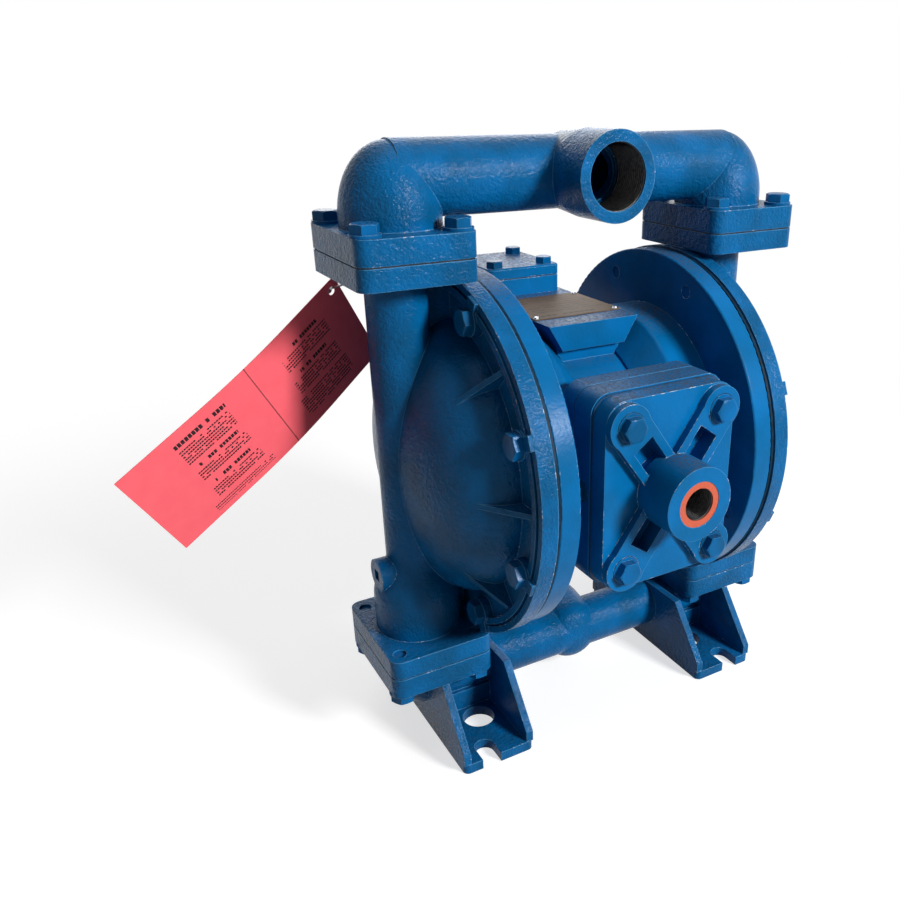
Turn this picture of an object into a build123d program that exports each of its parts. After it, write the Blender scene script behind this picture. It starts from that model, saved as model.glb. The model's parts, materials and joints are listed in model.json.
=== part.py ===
"""Air operated double diaphragm pump in cast iron, with 1-1/2 in liquid ports.

Frame: X runs along the diaphragm rod, -Y faces the air inlet and the discharge
port, Z is up. The origin lies on the floor, midway between the four feet.
"""

import os
from math import cos, radians, sin, sqrt

from build123d import *

os.makedirs("parts", exist_ok=True)

# Driving dimensions in millimetres -----------------------------------------

# overall layout
column_spacing = 285.0
rim_to_lower_joint = 10.8
rim_to_upper_joint = 14.6

# liquid chambers
rim_face_x = 76.8
inner_rim_thickness = 16.0
outer_rim_radius = 141.5
rim_step = 1.5
diaphragm_thickness = 2.6
outer_floor_thickness = 8.6
outer_lip_height = 4.0
outer_lip_width = 5.0
bead_inset = 9.5
bead_width = 5.0
bead_height = 5.0
dome_depth = 53.0
dome_inset = 33.5
chamber_wall = 6.0
clamp_bolt_inset = 17.5
clamp_bolt_count = 8
clamp_boss_radius = 10.5
clamp_boss_height = 7.0
dome_rib_thickness = 4.0
dome_rib_reach = 16.0

# inner chamber dish
drum_radius = 97.0
drum_front_x = 46.0
hub_face_x = 25.0
hub_radius = 76.0
dish_wall = 7.0

# columns, ball housings and flanges
column_radius = 22.0
column_bore_radius = 16.5
ball_radius = 22.2
ball_lift = 9.0
ball_side_clearance = 5.8
housing_wall = 6.0
housing_height = 28.0
housing_taper = 36.0
seat_thickness = 8.0
seat_bore_radius = 15.0
seat_rim_radius = 27.0
ball_seat_gap = 0.3
flange_half_x = 42.0
flange_half_y = 50.5
flange_corner_radius = 9.0
chamber_flange_thickness = 15.0
manifold_flange_thickness = 17.0
gasket_thickness = 1.0
flange_bolt_x = 32.0
flange_bolt_y = 38.0
plug_boss_radius = 13.0
plug_boss_rise = 50.0
plug_boss_reach = 32.0
plug_radius = 8.5

# manifolds
discharge_rise = 47.0
discharge_tube_radius = 26.0
discharge_bore_radius = 20.0
discharge_neck_radius = 34.8
discharge_neck_rise = 5.0
discharge_hub_radius = 31.0
discharge_port_reach = 62.0
suction_drop = 39.7
suction_tube_height = 39.0
suction_tube_radius = 22.0
suction_bore_radius = 16.0
suction_neck_radius = 29.0
suction_hub_radius = 30.0
suction_port_reach = 62.0
liquid_port_radius = 23.0
liquid_port_depth = 36.0
hub_taper = 2.5

# feet
foot_center_x = 115.8
foot_half_width = 30.6
foot_front_y = 86.7
foot_plate_thickness = 8.4
foot_lip_height = 16.4
foot_rib_thickness = 6.0
foot_rib_top_y = 49.0
foot_wall_y = 22.0
foot_wall_height = 26.0
access_hole_radius = 13.0
foot_slot_x = 122.8
foot_slot_width = 16.0
foot_slot_end_y = 65.0

# centre body
deck_rise = 99.0
deck_thickness = 20.0
deck_half_width = 40.0
deck_foot_half_width = 28.0
deck_front_y = 36.0
deck_rear_y = 148.0
core_radius = 74.0
core_front_y = 28.0
valve_pad_thickness = 16.0
exhaust_reach = 112.0
exhaust_boss_radius = 27.0
exhaust_bore_radius = 15.5
exhaust_bore_depth = 35.0

# air valve stack, measured along -Y from the rod axis
stack_half_width = 57.0
stack_half_height = 73.0
stack_corner_radius = 15.0
pad_face_y = 97.5
valve_body_thickness = 20.0
cap_plate_thickness = 15.0
cap_arm_height = 6.0
cap_half_width = 55.5
cap_half_height = 71.5
cap_arm_half_width = 16.5
cap_bolt_x = 39.1
cap_bolt_z = 53.8
cap_pocket_width = 18.0
cap_pocket_depth = 13.5
cap_pocket_wall = 7.0
cap_spot_radius = 11.05
cap_spot_depth = 1.2
cap_washer_thickness = 1.6
cap_washer_inset = 0.4
inlet_boss_radius = 27.4
inlet_face_y = 169.0
inlet_ring_outer_radius = 16.9
inlet_bore_radius = 12.0
inlet_ring_length = 18.0

# main valve and pilot valve
spool_radius = 5.4
spool_length = 70.0
spool_travel = 5.0
sleeve_wall = 2.6
sleeve_length = 92.0
end_plug_length = 9.0
running_clearance = 0.05
fit_clearance = 0.05
pilot_rise = 52.0
pilot_spool_radius = 4.5
pilot_spool_length = 36.0
pilot_sleeve_wall = 2.5
plunger_radius = 3.5
plunger_gap = 0.3
pilot_travel = 4.0

# diaphragm assembly
rod_radius = 9.5
rod_travel = 11.0
bushing_wall = 3.0
bushing_length = 22.0
plate_radius = 62.0
inner_plate_thickness = 9.0
outer_plate_thickness = 12.0
web_roll_depth = 9.0
roll_to_plate = 6.0
roll_to_wall = 4.0

# pilot signal block on the rear of the deck
block_half_width = 34.0
block_front_y = 71.0
block_rear_y = 146.0
block_body_thickness = 14.0
block_cover_thickness = 8.5
block_bolt_x = 23.6
block_bolt_y = 27.5

# plates and fasteners
nameplate_width = 79.0
nameplate_depth = 70.0
nameplate_thickness = 0.8
nameplate_front_y = -14.0
pin_radius = 1.6
pin_inset = 3.5
bolt_flats = 17.0
bolt_head_height = 6.6
bolt_shank_radius = 5.0
washer_radius = 10.5
washer_thickness = 2.0
cap_bolt_flats = 16.0
small_bolt_flats = 13.0
small_bolt_head_height = 5.5
small_bolt_shank_radius = 4.0
hole_clearance = 0.5
part_gap = 0.3

# card tag tied below the left top flange
tag_hole = (-164.5, 76.5, 350.6)
tag_across = (39.0, 25.0, -71.0)
tag_along = (-72.5, -25.0, -63.9)
tag_along_lower = (-94.0, -16.0, -63.5)
tag_width = 84.0
tag_upper_length = 100.0
tag_lower_length = 115.0
tag_thickness = 0.6
tag_hole_inset = 8.0
tag_hole_radius = 3.0
tie_radius = 0.8
tie_knot_radius = 3.2

# Derived levels and stations ------------------------------------------------

column_x = column_spacing / 2
diaphragm_x = rim_face_x + inner_rim_thickness
outer_rim_x = diaphragm_x + diaphragm_thickness
outer_floor_x = outer_rim_x + outer_floor_thickness
outer_lip_x = outer_floor_x + outer_lip_height
clamp_face_x = outer_floor_x + clamp_boss_height
dome_apex_x = outer_floor_x + dome_depth

inner_rim_radius = outer_rim_radius - rim_step
bead_radius = outer_rim_radius - bead_inset
dome_radius = outer_rim_radius - dome_inset
clamp_bolt_circle = outer_rim_radius - clamp_bolt_inset
web_roll_inner_radius = plate_radius + roll_to_plate
web_roll_outer_radius = dome_radius - chamber_wall - roll_to_wall

suction_tube_z = suction_tube_height
base_gasket_z = suction_tube_z + suction_drop
base_top_z = base_gasket_z + gasket_thickness
rod_height = base_top_z + rim_to_lower_joint + outer_rim_radius
base_flange_top_z = base_top_z + chamber_flange_thickness
suction_flange_z = base_gasket_z - manifold_flange_thickness

top_joint_z = rod_height + outer_rim_radius + rim_to_upper_joint
top_flange_z = top_joint_z - chamber_flange_thickness
discharge_flange_z = top_joint_z + gasket_thickness
discharge_flange_top_z = discharge_flange_z + manifold_flange_thickness
discharge_tube_z = discharge_flange_z + discharge_rise

ball_chamber_radius = ball_radius + ball_side_clearance
housing_radius = ball_chamber_radius + housing_wall
seat_contact_radius = ball_radius / sqrt(2)
ball_rise = (
    seat_thickness
    - (seat_rim_radius - 5.0 - seat_contact_radius)
    + seat_contact_radius
    + ball_seat_gap
)
suction_ball_z = base_top_z + ball_rise
discharge_ball_z = discharge_flange_z + ball_rise

deck_z = rod_height + deck_rise
pilot_z = rod_height + pilot_rise
gasket_front_y = pad_face_y + gasket_thickness
valve_body_face_y = gasket_front_y + valve_body_thickness
cap_back_y = valve_body_face_y + gasket_thickness
cap_face_y = cap_back_y + cap_plate_thickness
cap_arm_y = cap_face_y + cap_arm_height
cap_seat_y = cap_arm_y - cap_spot_depth
spool_y = gasket_front_y + valve_body_thickness / 2

rod_axis = Axis((0, 0, rod_height), (1, 0, 0))


def rod_plane(x):
    """Plane across the rod: local x is +Y and local y is up, centred on the rod."""
    return Plane(origin=(x, 0, rod_height), x_dir=(0, 1, 0), z_dir=(1, 0, 0))


def front_plane(y, height=rod_height):
    """Plane facing -Y at distance y in front of the rod: local x is +X, local y up."""
    return Plane(origin=(0, -y, height), x_dir=(1, 0, 0), z_dir=(0, -1, 0))


def column_plane(z, x=column_x):
    return Plane(origin=(x, 0, z))


# section plane for everything turned about the rod: local x is +X, local y is radius
rod_section = Plane(origin=(0, 0, rod_height), x_dir=(1, 0, 0), z_dir=(0, -1, 0))

clamp_angles = [
    180 / clamp_bolt_count + 360 / clamp_bolt_count * index
    for index in range(clamp_bolt_count)
]
clamp_points = [
    (clamp_bolt_circle * cos(radians(angle)), clamp_bolt_circle * sin(radians(angle)))
    for angle in clamp_angles
]
flange_bolt_points = [
    (side * flange_bolt_x, end * flange_bolt_y) for side in (-1, 1) for end in (-1, 1)
]
cap_bolt_points = [
    (side * cap_bolt_x, end * cap_bolt_z) for side in (-1, 1) for end in (-1, 1)
]


def save(builder, name):
    builder.part.label = name
    export_step(builder.part, "parts/" + name + ".step")


def save_mirrored(builder, name):
    """Write the left-hand twin of a right-hand piece."""
    with BuildPart() as twin:
        mirror(builder.part, about=Plane.YZ)
    save(twin, name)


# Outer chambers ---------------------------------------------------------------

with BuildPart() as outer_chamber_right:
    # clamped rim with its raised perimeter lip
    with BuildSketch(rod_plane(outer_rim_x)):
        Circle(outer_rim_radius)
    extrude(amount=outer_floor_thickness)
    with BuildSketch(rod_plane(outer_floor_x)):
        Circle(outer_rim_radius)
        Circle(outer_rim_radius - outer_lip_width, mode=Mode.SUBTRACT)
    extrude(amount=outer_lip_height)
    # bead that runs from bolt to bolt
    with BuildSketch(rod_plane(outer_floor_x)):
        Circle(bead_radius + bead_width / 2)
        Circle(bead_radius - bead_width / 2, mode=Mode.SUBTRACT)
    extrude(amount=bead_height)
    # bolt bosses, each tied to the lip
    with BuildSketch(rod_plane(outer_floor_x)):
        with Locations(*clamp_points):
            Circle(clamp_boss_radius)
        with PolarLocations(
            (clamp_bolt_circle + outer_rim_radius - part_gap) / 2,
            clamp_bolt_count,
            start_angle=180 / clamp_bolt_count,
        ):
            Rectangle(outer_rim_radius - part_gap - clamp_bolt_circle, clamp_boss_radius)
    extrude(amount=clamp_boss_height)
    # pressure dome
    with BuildSketch(rod_section):
        with BuildLine():
            EllipticalCenterArc((outer_floor_x, 0), dome_depth, dome_radius, 0, arc_size=90)
            Polyline(
                (outer_floor_x, dome_radius),
                (outer_rim_x, dome_radius),
                (outer_rim_x, 0),
                (dome_apex_x, 0),
            )
        make_face()
    revolve(axis=rod_axis)
    # low ribs that run from the bead on to the dome
    rib_foot_radius = bead_radius - bead_width
    rib_top_radius = dome_radius - dome_rib_reach
    rib_top_x = outer_floor_x + dome_depth * sqrt(1 - (rib_top_radius / dome_radius) ** 2)
    for angle in (45, 90, 135, 225, 270, 315):
        rib_plane = Plane(
            origin=(0, 0, rod_height),
            x_dir=(1, 0, 0),
            z_dir=(0, cos(radians(angle)), sin(radians(angle))),
        )
        with BuildSketch(rib_plane):
            Polygon(
                (outer_rim_x + 1, rib_top_radius),
                (rib_top_x, rib_top_radius),
                (outer_floor_x + bead_height - 1, rib_foot_radius),
                (outer_rim_x + 1, rib_foot_radius),
                align=None,
            )
        extrude(amount=dome_rib_thickness / 2, both=True)
    # column, flared ball housing and the two flanges
    with BuildSketch(column_plane(base_top_z)):
        Circle(column_radius)
    extrude(amount=top_joint_z - base_top_z)
    with BuildSketch(Plane(origin=(column_x, 0, 0), x_dir=(1, 0, 0), z_dir=(0, -1, 0))):
        housing_top_z = base_top_z + chamber_flange_thickness + housing_height
        with BuildLine():
            Polyline(
                (0, base_top_z + 1),
                (housing_radius, base_top_z + 1),
                (housing_radius, housing_top_z),
            )
            Spline(
                (housing_radius, housing_top_z),
                (column_radius, housing_top_z + housing_taper),
                tangents=[(0, 1), (0, 1)],
            )
            Polyline(
                (column_radius, housing_top_z + housing_taper),
                (0, housing_top_z + housing_taper),
                (0, base_top_z + 1),
            )
        make_face()
    revolve(axis=Axis((column_x, 0, 0), (0, 0, 1)))
    for level in (base_top_z, top_flange_z):
        with BuildSketch(column_plane(level)):
            RectangleRounded(2 * flange_half_x, 2 * flange_half_y, flange_corner_radius)
        extrude(amount=chamber_flange_thickness)
    # webs that tie the column to the rim above and below the dome
    with BuildSketch(Plane.XZ):
        with Locations((outer_floor_x, rod_height)):
            Rectangle(
                column_x - outer_floor_x,
                2 * (outer_rim_radius - outer_lip_width),
                align=(Align.MIN, Align.CENTER),
            )
    extrude(amount=dome_rib_thickness, both=True)
    # boss for the priming plug
    with BuildSketch(Plane(
        origin=(column_x, 0, base_flange_top_z + plug_boss_rise), z_dir=(1, 0, 0)
    )):
        Circle(plug_boss_radius)
    extrude(amount=plug_boss_reach)
    # hollow pumping chamber
    with BuildSketch(rod_section):
        with BuildLine():
            EllipticalCenterArc(
                (outer_floor_x, 0),
                dome_depth - chamber_wall,
                dome_radius - chamber_wall,
                0,
                arc_size=90,
            )
            Polyline(
                (outer_floor_x, dome_radius - chamber_wall),
                (outer_rim_x, dome_radius - chamber_wall),
                (outer_rim_x, 0),
                (dome_apex_x - chamber_wall, 0),
            )
        make_face()
    revolve(axis=rod_axis, mode=Mode.SUBTRACT)
    # column bore, ball chamber and the recess of the lower seat
    with BuildSketch(column_plane(base_top_z)):
        Circle(column_bore_radius)
    extrude(amount=top_joint_z - base_top_z, mode=Mode.SUBTRACT)
    with BuildSketch(Plane(origin=(column_x, 0, 0), x_dir=(1, 0, 0), z_dir=(0, -1, 0))):
        chamber_shoulder_z = suction_ball_z + ball_lift
        Polygon(
            (0, base_top_z),
            (seat_rim_radius + hole_clearance, base_top_z),
            (seat_rim_radius + hole_clearance, base_top_z + seat_thickness + part_gap),
            (ball_chamber_radius, base_top_z + seat_thickness + part_gap + 1),
            (ball_chamber_radius, chamber_shoulder_z),
            (column_bore_radius, chamber_shoulder_z + ball_radius),
            (0, chamber_shoulder_z + ball_radius),
            align=None,
        )
    revolve(axis=Axis((column_x, 0, 0), (0, 0, 1)), mode=Mode.SUBTRACT)
    # tapped hole for the priming plug
    with BuildSketch(Plane(
        origin=(column_x, 0, base_flange_top_z + plug_boss_rise), z_dir=(1, 0, 0)
    )):
        Circle(plug_radius + fit_clearance)
    extrude(amount=plug_boss_reach, mode=Mode.SUBTRACT)
    # bolt holes
    with BuildSketch(rod_plane(outer_rim_x)):
        with Locations(*clamp_points):
            Circle(bolt_shank_radius + hole_clearance)
    extrude(amount=outer_floor_thickness + clamp_boss_height, mode=Mode.SUBTRACT)
    for level in (base_top_z, top_flange_z):
        with BuildSketch(column_plane(level)):
            with Locations(*flange_bolt_points):
                Circle(bolt_shank_radius + fit_clearance)
        extrude(amount=chamber_flange_thickness, mode=Mode.SUBTRACT)

save(outer_chamber_right, "outer_chamber_right")
save_mirrored(outer_chamber_right, "outer_chamber_left")


# Inner chambers -----------------------------------------------------------------

def dish_outline(gap=0.0):
    """Outside of the drum and dish, as (x, radius) points, grown by a gap."""
    return [
        (rim_face_x, drum_radius + gap),
        (drum_front_x - gap, drum_radius + gap),
        (hub_face_x - gap / 2, hub_radius + gap),
    ]


with BuildPart() as inner_chamber_right:
    with BuildSketch(rod_section):
        Polygon(
            (diaphragm_x, 0),
            (diaphragm_x, inner_rim_radius),
            (rim_face_x, inner_rim_radius),
            *dish_outline(),
            (hub_face_x, 0),
            align=None,
        )
    revolve(axis=rod_axis)
    fillet(
        inner_chamber_right.edges().filter_by(GeomType.CIRCLE).filter_by(
            lambda edge: abs(edge.radius - drum_radius) < 0.01
            and abs(edge.center().X - drum_front_x) < 0.01
        ),
        4,
    )
    fillet(
        inner_chamber_right.edges().filter_by(GeomType.CIRCLE).filter_by(
            lambda edge: abs(edge.radius - inner_rim_radius) < 0.01
        ),
        1.2,
    )
    # dish that the diaphragm sweeps, open towards the rim
    with BuildSketch(rod_section):
        Polygon(
            (diaphragm_x, 0),
            (diaphragm_x, dome_radius - chamber_wall),
            (rim_face_x + dish_wall, dome_radius - chamber_wall - 3),
            (rim_face_x + dish_wall / 2, drum_radius - dish_wall),
            (drum_front_x + dish_wall, drum_radius - dish_wall - 3),
            (hub_face_x + 2.5 * dish_wall, hub_radius - dish_wall),
            (hub_face_x + 2.5 * dish_wall, 0),
            align=None,
        )
    revolve(axis=rod_axis, mode=Mode.SUBTRACT)
    # rod bore, plunger bore and bolt holes
    with BuildSketch(rod_plane(hub_face_x)):
        Circle(rod_radius + bushing_wall + fit_clearance)
    extrude(amount=inner_rim_thickness + dish_wall * 2, mode=Mode.SUBTRACT)
    with BuildSketch(rod_plane(hub_face_x)):
        with Locations((0, pilot_rise)):
            Circle(plunger_radius + running_clearance)
    extrude(amount=2.5 * dish_wall, mode=Mode.SUBTRACT)
    with BuildSketch(rod_plane(rim_face_x)):
        with Locations(*clamp_points):
            Circle(bolt_shank_radius + fit_clearance)
    extrude(amount=inner_rim_thickness, mode=Mode.SUBTRACT)

save(inner_chamber_right, "inner_chamber_right")
save_mirrored(inner_chamber_right, "inner_chamber_left")


# Centre body --------------------------------------------------------------------

with BuildPart() as dish_envelope:
    for mirrored in (1, -1):
        with BuildSketch(rod_section):
            Polygon(
                (mirrored * (diaphragm_x + 1), 0),
                (mirrored * (diaphragm_x + 1), inner_rim_radius + part_gap),
                (mirrored * (rim_face_x - part_gap), inner_rim_radius + part_gap),
                *[(mirrored * x, radius) for x, radius in dish_outline(part_gap)],
                (mirrored * hub_face_x, 0),
                align=None,
            )
        revolve(axis=rod_axis)

with BuildPart() as center_body:
    # round core between the two hubs
    with BuildSketch(rod_plane(-hub_face_x)):
        Circle(core_radius)
    extrude(amount=2 * hub_face_x)
    # deck that carries the data plate and the pilot block
    with BuildSketch(front_plane(deck_front_y, deck_z)):
        Polygon(
            (-deck_half_width, 0),
            (deck_half_width, 0),
            (deck_foot_half_width, -deck_thickness),
            (-deck_foot_half_width, -deck_thickness),
            align=None,
        )
    extrude(amount=-deck_front_y - deck_rear_y)
    # front wall under the deck, down to the valve pad
    with BuildSketch(Plane.XY.offset(rod_height - stack_half_height + part_gap)):
        with Locations((0, -core_front_y)):
            Rectangle(
                2 * deck_foot_half_width, 2 * core_front_y, align=(Align.CENTER, Align.MIN)
            )
    extrude(amount=deck_z - rod_height + stack_half_height - deck_thickness)
    # neck and pad for the air valve
    with BuildSketch(front_plane(0)):
        RectangleRounded(
            2 * (stack_half_width - stack_corner_radius),
            2 * (stack_half_height - stack_corner_radius),
            stack_corner_radius,
        )
    extrude(amount=pad_face_y)
    with BuildSketch(front_plane(pad_face_y - valve_pad_thickness)):
        RectangleRounded(2 * stack_half_width, 2 * stack_half_height, stack_corner_radius)
    extrude(amount=valve_pad_thickness)
    # rear housing under the pilot block, and the exhaust boss
    with BuildSketch(Plane.XY.offset(rod_height)):
        with Locations((0, core_front_y)):
            Rectangle(
                2 * block_half_width,
                exhaust_reach - exhaust_boss_radius / 2 - core_front_y,
                align=(Align.CENTER, Align.MIN),
            )
    extrude(amount=deck_rise - deck_thickness)
    with BuildSketch(front_plane(0)):
        Circle(exhaust_boss_radius)
    extrude(amount=-exhaust_reach)
    # room for the drums of the two inner chambers
    add(dish_envelope.part, mode=Mode.SUBTRACT)
    with BuildSketch(rod_plane(-hub_face_x)):
        Circle(core_radius)
    extrude(amount=2 * hub_face_x)
    # rod bore, pilot sleeve bore, air passage and exhaust port
    with BuildSketch(rod_plane(-hub_face_x)):
        Circle(rod_radius + hole_clearance)
        with Locations((0, pilot_rise)):
            Circle(pilot_spool_radius + running_clearance + pilot_sleeve_wall + fit_clearance)
    extrude(amount=2 * hub_face_x, mode=Mode.SUBTRACT)
    with BuildSketch(front_plane(-exhaust_reach)):
        Circle(exhaust_bore_radius)
    extrude(amount=exhaust_bore_depth, mode=Mode.SUBTRACT)
    with BuildSketch(front_plane(pad_face_y)):
        with Locations((-2 * sleeve_wall - spool_radius * 2, 0), (2 * sleeve_wall + spool_radius * 2, 0)):
            Circle(spool_radius)
        with Locations((0, 0)):
            Circle(spool_radius)
        with Locations(*cap_bolt_points):
            Circle(small_bolt_shank_radius + fit_clearance)
    extrude(amount=-valve_pad_thickness, mode=Mode.SUBTRACT)
    with BuildSketch(Plane.XY.offset(deck_z)):
        with Locations((0, (block_front_y + block_rear_y) / 2)):
            with GridLocations(2 * block_bolt_x, 2 * block_bolt_y, 2, 2):
                Circle(small_bolt_shank_radius + fit_clearance)
    extrude(amount=-deck_thickness / 2, mode=Mode.SUBTRACT)

save(center_body, "center_body")


# Manifolds ------------------------------------------------------------------------

def tube_section(level):
    """Plane across a manifold tube at the centre of the pump."""
    return Plane(origin=(0, 0, level), x_dir=(0, 1, 0), z_dir=(1, 0, 0))


def port_hub(level, facing, reach, hub_radius, tube_radius):
    """Round port hub across a tube, open end facing +Y or -Y, closed end domed."""
    with BuildPart() as hub:
        section = Plane(origin=(0, 0, level), x_dir=(0, facing, 0), z_dir=(facing, 0, 0))
        with BuildSketch(section):
            with BuildLine():
                Polyline(
                    (-tube_radius, 0),
                    (reach, 0),
                    (reach, hub_radius),
                    (reach - liquid_port_depth, hub_radius),
                    (0, hub_radius - hub_taper),
                )
                Spline((0, hub_radius - hub_taper), (-tube_radius, 0), tangents=[(-1, 0), (0, -1)])
            make_face()
        revolve(axis=Axis((0, 0, level), (0, 1, 0)))
    return hub.part


def elbow_section(side):
    """Upright plane through a column: local x runs outwards, local y is the height."""
    return Plane(origin=(side * column_x, 0, 0), x_dir=(side, 0, 0), z_dir=(0, -side, 0))


discharge_hub = port_hub(
    discharge_tube_z, -1, discharge_port_reach, discharge_hub_radius, discharge_tube_radius
)
suction_hub = port_hub(
    suction_tube_z, 1, suction_port_reach, suction_hub_radius, suction_tube_radius
)

with BuildPart() as discharge_manifold:
    # tube with a spherical elbow over each column
    with BuildSketch(tube_section(discharge_tube_z)):
        Circle(discharge_tube_radius)
    extrude(amount=column_x, both=True)
    for side in (-1, 1):
        with BuildSketch(elbow_section(side)):
            neck_top_z = discharge_flange_top_z + discharge_neck_rise
            dome_top_z = discharge_tube_z + discharge_tube_radius - 1
            with BuildLine():
                Polyline(
                    (0, dome_top_z),
                    (0, discharge_flange_top_z - 1),
                    (discharge_neck_radius, discharge_flange_top_z - 1),
                    (discharge_neck_radius, neck_top_z),
                )
                EllipticalCenterArc(
                    (0, neck_top_z), discharge_neck_radius, dome_top_z - neck_top_z, 0, arc_size=90
                )
            make_face()
        revolve(axis=Axis((side * column_x, 0, 0), (0, 0, 1)))
        with BuildSketch(column_plane(discharge_flange_z, side * column_x)):
            RectangleRounded(2 * flange_half_x, 2 * flange_half_y, flange_corner_radius)
        extrude(amount=manifold_flange_thickness)
    # port hub
    add(discharge_hub)
    # liquid passages
    with BuildSketch(tube_section(discharge_tube_z)):
        Circle(discharge_bore_radius)
    extrude(amount=column_x - 5, both=True, mode=Mode.SUBTRACT)
    for side in (-1, 1):
        with BuildSketch(elbow_section(side)):
            ball_top_z = discharge_ball_z + ball_lift
            Polygon(
                (0, discharge_flange_z),
                (seat_rim_radius + hole_clearance, discharge_flange_z),
                (seat_rim_radius + hole_clearance, discharge_flange_z + seat_thickness + part_gap),
                (ball_chamber_radius, discharge_flange_z + seat_thickness + part_gap + 1),
                (ball_chamber_radius, ball_top_z),
                (discharge_bore_radius + 1, discharge_tube_z + 2),
                (discharge_bore_radius / 2, discharge_tube_z + discharge_bore_radius - 3),
                (0, discharge_tube_z + discharge_bore_radius - 3),
                align=None,
            )
        revolve(axis=Axis((side * column_x, 0, 0), (0, 0, 1)), mode=Mode.SUBTRACT)
    with BuildSketch(front_plane(discharge_port_reach, discharge_tube_z)):
        Circle(liquid_port_radius)
    extrude(amount=-liquid_port_depth, mode=Mode.SUBTRACT)
    with BuildSketch(front_plane(discharge_port_reach, discharge_tube_z)):
        Circle(discharge_bore_radius)
    extrude(amount=-discharge_port_reach, mode=Mode.SUBTRACT)
    # bolt holes in the two flanges
    with BuildSketch(Plane.XY.offset(discharge_flange_z)):
        with GridLocations(column_spacing, 1, 2, 1):
            with Locations(*flange_bolt_points):
                Circle(bolt_shank_radius + hole_clearance)
    extrude(amount=manifold_flange_thickness, mode=Mode.SUBTRACT)

save(discharge_manifold, "discharge_manifold")

with BuildPart() as suction_manifold:
    with BuildSketch(tube_section(suction_tube_z)):
        Circle(suction_tube_radius)
    extrude(amount=column_x, both=True)
    for side in (-1, 1):
        with BuildSketch(elbow_section(side)):
            with BuildLine():
                Line(
                    (0, suction_tube_z - suction_tube_radius),
                    (0, suction_flange_z + 1),
                )
                Line((0, suction_flange_z + 1), (suction_neck_radius, suction_flange_z + 1))
                Spline(
                    (suction_neck_radius, suction_flange_z + 1),
                    (suction_tube_radius, suction_tube_z),
                    (0, suction_tube_z - suction_tube_radius),
                    tangents=[(-0.3, -1), (-1, 0)],
                )
            make_face()
        revolve(axis=Axis((side * column_x, 0, 0), (0, 0, 1)))
        with BuildSketch(column_plane(suction_flange_z, side * column_x)):
            RectangleRounded(2 * flange_half_x, 2 * flange_half_y, flange_corner_radius)
        extrude(amount=manifold_flange_thickness)
        # foot: floor plate, two tapered ribs and the cross wall under the elbow
        foot_x = side * foot_center_x
        with BuildSketch(Plane.XY):
            with Locations((foot_x, 0)):
                RectangleRounded(2 * foot_half_width, 2 * foot_front_y, 5)
        extrude(amount=foot_plate_thickness)
        for rib_x in (
            foot_x - foot_half_width,
            foot_x + foot_half_width - foot_rib_thickness,
        ):
            with BuildSketch(Plane(origin=(rib_x, 0, 0), x_dir=(0, 1, 0), z_dir=(1, 0, 0))):
                Polygon(
                    (-foot_front_y + 1, foot_plate_thickness - 1),
                    (-foot_front_y + 1, foot_lip_height),
                    (-foot_rib_top_y, suction_flange_z + 1),
                    (foot_rib_top_y, suction_flange_z + 1),
                    (foot_front_y - 1, foot_lip_height),
                    (foot_front_y - 1, foot_plate_thickness - 1),
                    align=None,
                )
            extrude(amount=foot_rib_thickness)
        with BuildSketch(Plane(
            origin=(foot_x - foot_half_width + 1, 0, 0), x_dir=(0, 1, 0), z_dir=(1, 0, 0)
        )):
            Polygon(
                (-foot_wall_y, foot_plate_thickness - 1),
                (-foot_wall_y, foot_wall_height),
                (foot_wall_y, foot_wall_height),
                (foot_wall_y, foot_plate_thickness - 1),
                align=None,
            )
        extrude(amount=2 * foot_half_width - 2)
    # port hub on the rear
    add(suction_hub)
    # liquid passages
    with BuildSketch(tube_section(suction_tube_z)):
        Circle(suction_bore_radius)
    extrude(amount=column_x, both=True, mode=Mode.SUBTRACT)
    for side in (-1, 1):
        with BuildSketch(column_plane(suction_tube_z, side * column_x)):
            Circle(suction_bore_radius)
        extrude(amount=base_gasket_z - suction_tube_z, mode=Mode.SUBTRACT)
    with BuildSketch(front_plane(-suction_port_reach, suction_tube_z)):
        Circle(liquid_port_radius)
    extrude(amount=liquid_port_depth, mode=Mode.SUBTRACT)
    with BuildSketch(front_plane(-suction_port_reach, suction_tube_z)):
        Circle(suction_bore_radius)
    extrude(amount=suction_port_reach, mode=Mode.SUBTRACT)
    # flange bolt holes, foot holes and the open slots
    with BuildSketch(Plane.XY.offset(suction_flange_z)):
        with GridLocations(column_spacing, 1, 2, 1):
            with Locations(*flange_bolt_points):
                Circle(bolt_shank_radius + hole_clearance)
    extrude(amount=manifold_flange_thickness, mode=Mode.SUBTRACT)
    with BuildSketch(Plane.XY):
        # access holes in line with the inboard flange bolts
        with GridLocations(2 * (column_x - flange_bolt_x), 2 * flange_bolt_y, 2, 2):
            Circle(access_hole_radius)
        with GridLocations(2 * foot_slot_x, 2 * foot_slot_end_y + foot_slot_width, 2, 2):
            Circle(foot_slot_width / 2)
        for side in (-1, 1):
            for end in (-1, 1):
                with Locations((side * foot_slot_x, end * (foot_slot_end_y + foot_slot_width / 2))):
                    Rectangle(
                        foot_slot_width,
                        foot_front_y - foot_slot_end_y,
                        align=(Align.CENTER, Align.MIN if end > 0 else Align.MAX),
                    )
    extrude(amount=foot_plate_thickness, mode=Mode.SUBTRACT)

save(suction_manifold, "suction_manifold")


# Flange gaskets, seats and balls ----------------------------------------------------

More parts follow.
